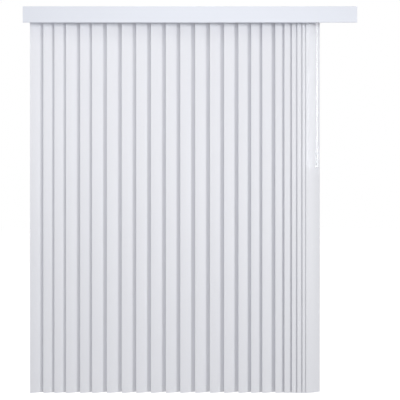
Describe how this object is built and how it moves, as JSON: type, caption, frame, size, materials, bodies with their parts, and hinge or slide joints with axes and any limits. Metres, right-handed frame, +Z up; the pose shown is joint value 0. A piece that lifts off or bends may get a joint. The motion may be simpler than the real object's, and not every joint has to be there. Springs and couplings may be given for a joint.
{
  "type": "vertical blind",
  "caption": "Vertical blind: curved white vanes on tilting carriers in a wall-mounted headrail, with a plain valance and a wand that turns and draws them.",
  "frame": {"origin": "midway between the two screw holes of the middle wall bracket, on the wall plane", "axes": "+X along the headrail to the right as seen from the room, +Y into the wall, +Z up"},
  "size_m": [1.8288, 0.1461, 2.1336],
  "materials": {
    "vane": "white satin PVC, extruded",
    "valance": "white satin PVC, extruded",
    "rail": "white powder coat",
    "carrier": "moulded white acetal",
    "cap": "moulded white plastic",
    "rod": "bare mill finish",
    "wand": "clear extruded plastic",
    "stem": "moulded white plastic",
    "clip": "clear moulded plastic",
    "bracket": "white painted steel strip"
  },
  "bodies": {
    "rail": {"headrail": "rail", "end_cap_left": "cap", "end_cap_right": "cap", "valance": "valance", "valance_clips": "clip", "mounting_brackets": "bracket", "carrier_01": "carrier"},
    "carrier_02": {"carrier_02": "carrier"},
    "carrier_03": {"carrier_03": "carrier"},
    "carrier_04": {"carrier_04": "carrier"},
    "carrier_05": {"carrier_05": "carrier"},
    "carrier_06": {"carrier_06": "carrier"},
    "carrier_07": {"carrier_07": "carrier"},
    "carrier_08": {"carrier_08": "carrier"},
    "carrier_09": {"carrier_09": "carrier"},
    "carrier_10": {"carrier_10": "carrier"},
    "carrier_11": {"carrier_11": "carrier"},
    "carrier_12": {"carrier_12": "carrier"},
    "carrier_13": {"carrier_13": "carrier"},
    "carrier_14": {"carrier_14": "carrier"},
    "carrier_15": {"carrier_15": "carrier"},
    "carrier_16": {"carrier_16": "carrier"},
    "carrier_17": {"carrier_17": "carrier"},
    "carrier_18": {"carrier_18": "carrier"},
    "carrier_19": {"carrier_19": "carrier"},
    "carrier_20": {"carrier_20": "carrier"},
    "carrier_21": {"carrier_21": "carrier"},
    "carrier_22": {"carrier_22": "carrier"},
    "carrier_23": {"carrier_23": "carrier"},
    "carrier_24": {"carrier_24": "carrier"},
    "vane_01": {"vane_01": "vane"},
    "vane_02": {"vane_02": "vane"},
    "vane_03": {"vane_03": "vane"},
    "vane_04": {"vane_04": "vane"},
    "vane_05": {"vane_05": "vane"},
    "vane_06": {"vane_06": "vane"},
    "vane_07": {"vane_07": "vane"},
    "vane_08": {"vane_08": "vane"},
    "vane_09": {"vane_09": "vane"},
    "vane_10": {"vane_10": "vane"},
    "vane_11": {"vane_11": "vane"},
    "vane_12": {"vane_12": "vane"},
    "vane_13": {"vane_13": "vane"},
    "vane_14": {"vane_14": "vane"},
    "vane_15": {"vane_15": "vane"},
    "vane_16": {"vane_16": "vane"},
    "vane_17": {"vane_17": "vane"},
    "vane_18": {"vane_18": "vane"},
    "vane_19": {"vane_19": "vane"},
    "vane_20": {"vane_20": "vane"},
    "vane_21": {"vane_21": "vane"},
    "vane_22": {"vane_22": "vane"},
    "vane_23": {"vane_23": "vane"},
    "vane_24": {"vane_24": "vane"},
    "tilt_rod": {"tilt_rod": "rod"},
    "wand_stem": {"wand_stem": "stem"},
    "wand": {"wand_hook": "stem", "wand_rod": "wand", "wand_grip": "wand"}
  },
  "joints": [
    {"name": "carrier_02_slide", "type": "slide", "parent": "rail", "child": "carrier_02", "axis": [1, 0, 0], "range_m": [-0.05857, 0]},
    {"name": "carrier_03_slide", "type": "slide", "parent": "carrier_02", "child": "carrier_03", "axis": [1, 0, 0], "range_m": [-0.04591, 0.00538]},
    {"name": "carrier_04_slide", "type": "slide", "parent": "carrier_03", "child": "carrier_04", "axis": [1, 0, 0], "range_m": [-0.04889, 0.0024]},
    {"name": "carrier_05_slide", "type": "slide", "parent": "carrier_04", "child": "carrier_05", "axis": [1, 0, 0], "range_m": [-0.06341, 0]},
    {"name": "carrier_06_slide", "type": "slide", "parent": "carrier_05", "child": "carrier_06", "axis": [1, 0, 0], "range_m": [-0.05001, 0.00128]},
    {"name": "carrier_07_slide", "type": "slide", "parent": "carrier_06", "child": "carrier_07", "axis": [1, 0, 0], "range_m": [-0.06713, 0]},
    {"name": "carrier_08_slide", "type": "slide", "parent": "carrier_07", "child": "carrier_08", "axis": [1, 0, 0], "range_m": [-0.0675, 0]},
    {"name": "carrier_09_slide", "type": "slide", "parent": "carrier_08", "child": "carrier_09", "axis": [1, 0, 0], "range_m": [-0.06489, 0]},
    {"name": "carrier_10_slide", "type": "slide", "parent": "carrier_09", "child": "carrier_10", "axis": [1, 0, 0], "range_m": [-0.06638, 0]},
    {"name": "carrier_11_slide", "type": "slide", "parent": "carrier_10", "child": "carrier_11", "axis": [1, 0, 0], "range_m": [-0.0675, 0]},
    {"name": "carrier_12_slide", "type": "slide", "parent": "carrier_11", "child": "carrier_12", "axis": [1, 0, 0], "range_m": [-0.06489, 0]},
    {"name": "carrier_13_slide", "type": "slide", "parent": "carrier_12", "child": "carrier_13", "axis": [1, 0, 0], "range_m": [-0.0675, 0]},
    {"name": "carrier_14_slide", "type": "slide", "parent": "carrier_13", "child": "carrier_14", "axis": [1, 0, 0], "range_m": [-0.06713, 0]},
    {"name": "carrier_15_slide", "type": "slide", "parent": "carrier_14", "child": "carrier_15", "axis": [1, 0, 0], "range_m": [-0.06229, 0]},
    {"name": "carrier_16_slide", "type": "slide", "parent": "carrier_15", "child": "carrier_16", "axis": [1, 0, 0], "range_m": [-0.06452, 0]},
    {"name": "carrier_17_slide", "type": "slide", "parent": "carrier_16", "child": "carrier_17", "axis": [1, 0, 0], "range_m": [-0.05522, 0]},
    {"name": "carrier_18_slide", "type": "slide", "parent": "carrier_17", "child": "carrier_18", "axis": [1, 0, 0], "range_m": [-0.04628, 0.005]},
    {"name": "carrier_19_slide", "type": "slide", "parent": "carrier_18", "child": "carrier_19", "axis": [1, 0, 0], "range_m": [-0.05708, 0]},
    {"name": "carrier_20_slide", "type": "slide", "parent": "carrier_19", "child": "carrier_20", "axis": [1, 0, 0], "range_m": [-0.03512, 0.01617]},
    {"name": "carrier_21_slide", "type": "slide", "parent": "carrier_20", "child": "carrier_21", "axis": [1, 0, 0], "range_m": [-0.02619, 0.0251]},
    {"name": "carrier_22_slide", "type": "slide", "parent": "carrier_21", "child": "carrier_22", "axis": [1, 0, 0], "range_m": [-0.01428, 0.03701]},
    {"name": "carrier_23_slide", "type": "slide", "parent": "carrier_22", "child": "carrier_23", "axis": [1, 0, 0], "range_m": [-0.01316, 0.03813]},
    {"name": "carrier_24_slide", "type": "slide", "parent": "carrier_23", "child": "carrier_24", "axis": [1, 0, 0], "range_m": [-0.00423, 0.04706]},
    {"name": "vane_01_tilt", "type": "hinge", "parent": "rail", "child": "vane_01", "pos_m": [-0.84815, -0.06401, -0.017], "axis": [0, 0, 1], "range_deg": [-6, 142]},
    {"name": "vane_02_tilt", "type": "hinge", "parent": "carrier_02", "child": "vane_02", "pos_m": [-0.77408, -0.06401, -0.017], "axis": [0, 0, 1], "range_deg": [-6, 142]},
    {"name": "vane_03_tilt", "type": "hinge", "parent": "carrier_03", "child": "vane_03", "pos_m": [-0.71267, -0.06401, -0.017], "axis": [0, 0, 1], "range_deg": [-6, 142]},
    {"name": "vane_04_tilt", "type": "hinge", "parent": "carrier_04", "child": "vane_04", "pos_m": [-0.64828, -0.06401, -0.017], "axis": [0, 0, 1], "range_deg": [-6, 142]},
    {"name": "vane_05_tilt", "type": "hinge", "parent": "carrier_05", "child": "vane_05", "pos_m": [-0.56938, -0.06401, -0.017], "axis": [0, 0, 1], "range_deg": [-6, 142]},
    {"name": "vane_06_tilt", "type": "hinge", "parent": "carrier_06", "child": "vane_06", "pos_m": [-0.50387, -0.06401, -0.017], "axis": [0, 0, 1], "range_deg": [-6, 142]},
    {"name": "vane_07_tilt", "type": "hinge", "parent": "carrier_07", "child": "vane_07", "pos_m": [-0.42124, -0.06401, -0.017], "axis": [0, 0, 1], "range_deg": [-6, 142]},
    {"name": "vane_08_tilt", "type": "hinge", "parent": "carrier_08", "child": "vane_08", "pos_m": [-0.33824, -0.06401, -0.017], "axis": [0, 0, 1], "range_deg": [-6, 142]},
    {"name": "vane_09_tilt", "type": "hinge", "parent": "carrier_09", "child": "vane_09", "pos_m": [-0.25785, -0.06401, -0.017], "axis": [0, 0, 1], "range_deg": [-6, 142]},
    {"name": "vane_10_tilt", "type": "hinge", "parent": "carrier_10", "child": "vane_10", "pos_m": [-0.17596, -0.06401, -0.017], "axis": [0, 0, 1], "range_deg": [-6, 142]},
    {"name": "vane_11_tilt", "type": "hinge", "parent": "carrier_11", "child": "vane_11", "pos_m": [-0.09297, -0.06401, -0.017], "axis": [0, 0, 1], "range_deg": [-6, 142]},
    {"name": "vane_12_tilt", "type": "hinge", "parent": "carrier_12", "child": "vane_12", "pos_m": [-0.01257, -0.06401, -0.017], "axis": [0, 0, 1], "range_deg": [-6, 142]},
    {"name": "vane_13_tilt", "type": "hinge", "parent": "carrier_13", "child": "vane_13", "pos_m": [0.07043, -0.06401, -0.017], "axis": [0, 0, 1], "range_deg": [-6, 142]},
    {"name": "vane_14_tilt", "type": "hinge", "parent": "carrier_14", "child": "vane_14", "pos_m": [0.15306, -0.06401, -0.017], "axis": [0, 0, 1], "range_deg": [-6, 142]},
    {"name": "vane_15_tilt", "type": "hinge", "parent": "carrier_15", "child": "vane_15", "pos_m": [0.23085, -0.06401, -0.017], "axis": [0, 0, 1], "range_deg": [-6, 142]},
    {"name": "vane_16_tilt", "type": "hinge", "parent": "carrier_16", "child": "vane_16", "pos_m": [0.31087, -0.06401, -0.017], "axis": [0, 0, 1], "range_deg": [-6, 142]},
    {"name": "vane_17_tilt", "type": "hinge", "parent": "carrier_17", "child": "vane_17", "pos_m": [0.38158, -0.06401, -0.017], "axis": [0, 0, 1], "range_deg": [-6, 142]},
    {"name": "vane_18_tilt", "type": "hinge", "parent": "carrier_18", "child": "vane_18", "pos_m": [0.44337, -0.06401, -0.017], "axis": [0, 0, 1], "range_deg": [-6, 142]},
    {"name": "vane_19_tilt", "type": "hinge", "parent": "carrier_19", "child": "vane_19", "pos_m": [0.51595, -0.06401, -0.017], "axis": [0, 0, 1], "range_deg": [-6, 142]},
    {"name": "vane_20_tilt", "type": "hinge", "parent": "carrier_20", "child": "vane_20", "pos_m": [0.56657, -0.06401, -0.017], "axis": [0, 0, 1], "range_deg": [-6, 142]},
    {"name": "vane_21_tilt", "type": "hinge", "parent": "carrier_21", "child": "vane_21", "pos_m": [0.60825, -0.06401, -0.017], "axis": [0, 0, 1], "range_deg": [-6, 142]},
    {"name": "vane_22_tilt", "type": "hinge", "parent": "carrier_22", "child": "vane_22", "pos_m": [0.63803, -0.06401, -0.017], "axis": [0, 0, 1], "range_deg": [-6, 142]},
    {"name": "vane_23_tilt", "type": "hinge", "parent": "carrier_23", "child": "vane_23", "pos_m": [0.66669, -0.06401, -0.017], "axis": [0, 0, 1], "range_deg": [-6, 142]},
    {"name": "vane_24_tilt", "type": "hinge", "parent": "carrier_24", "child": "vane_24", "pos_m": [0.68641, -0.06401, -0.017], "axis": [0, 0, 1], "range_deg": [-6, 142]},
    {"name": "tilt_rod_turn", "type": "hinge", "parent": "rail", "child": "tilt_rod", "pos_m": [0, -0.05551, 0.012], "axis": [1, 0, 0], "range_deg": [-72, 1704]},
    {"name": "wand_turn", "type": "hinge", "parent": "carrier_24", "child": "wand_stem", "pos_m": [0.69841, -0.12012, -0.03], "axis": [0, 0, 1], "range_deg": [-72, 1704]},
    {"name": "wand_swing", "type": "hinge", "parent": "wand_stem", "child": "wand", "pos_m": [0.69841, -0.12012, -0.03], "axis": [1, 0, 0], "range_deg": [-20, 0]}
  ],
  "couplings": [
    {"joint": "vane_02_tilt", "follows": "vane_01_tilt", "ratio": 1},
    {"joint": "vane_03_tilt", "follows": "vane_01_tilt", "ratio": 1},
    {"joint": "vane_04_tilt", "follows": "vane_01_tilt", "ratio": 1},
    {"joint": "vane_05_tilt", "follows": "vane_01_tilt", "ratio": 1},
    {"joint": "vane_06_tilt", "follows": "vane_01_tilt", "ratio": 1},
    {"joint": "vane_07_tilt", "follows": "vane_01_tilt", "ratio": 1},
    {"joint": "vane_08_tilt", "follows": "vane_01_tilt", "ratio": 1},
    {"joint": "vane_09_tilt", "follows": "vane_01_tilt", "ratio": 1},
    {"joint": "vane_10_tilt", "follows": "vane_01_tilt", "ratio": 1},
    {"joint": "vane_11_tilt", "follows": "vane_01_tilt", "ratio": 1},
    {"joint": "vane_12_tilt", "follows": "vane_01_tilt", "ratio": 1},
    {"joint": "vane_13_tilt", "follows": "vane_01_tilt", "ratio": 1},
    {"joint": "vane_14_tilt", "follows": "vane_01_tilt", "ratio": 1},
    {"joint": "vane_15_tilt", "follows": "vane_01_tilt", "ratio": 1},
    {"joint": "vane_16_tilt", "follows": "vane_01_tilt", "ratio": 1},
    {"joint": "vane_17_tilt", "follows": "vane_01_tilt", "ratio": 1},
    {"joint": "vane_18_tilt", "follows": "vane_01_tilt", "ratio": 1},
    {"joint": "vane_19_tilt", "follows": "vane_01_tilt", "ratio": 1},
    {"joint": "vane_20_tilt", "follows": "vane_01_tilt", "ratio": 1},
    {"joint": "vane_21_tilt", "follows": "vane_01_tilt", "ratio": 1},
    {"joint": "vane_22_tilt", "follows": "vane_01_tilt", "ratio": 1},
    {"joint": "vane_23_tilt", "follows": "vane_01_tilt", "ratio": 1},
    {"joint": "vane_24_tilt", "follows": "vane_01_tilt", "ratio": 1},
    {"joint": "tilt_rod_turn", "follows": "vane_01_tilt", "ratio": 12},
    {"joint": "wand_turn", "follows": "vane_01_tilt", "ratio": 12}
  ]
}
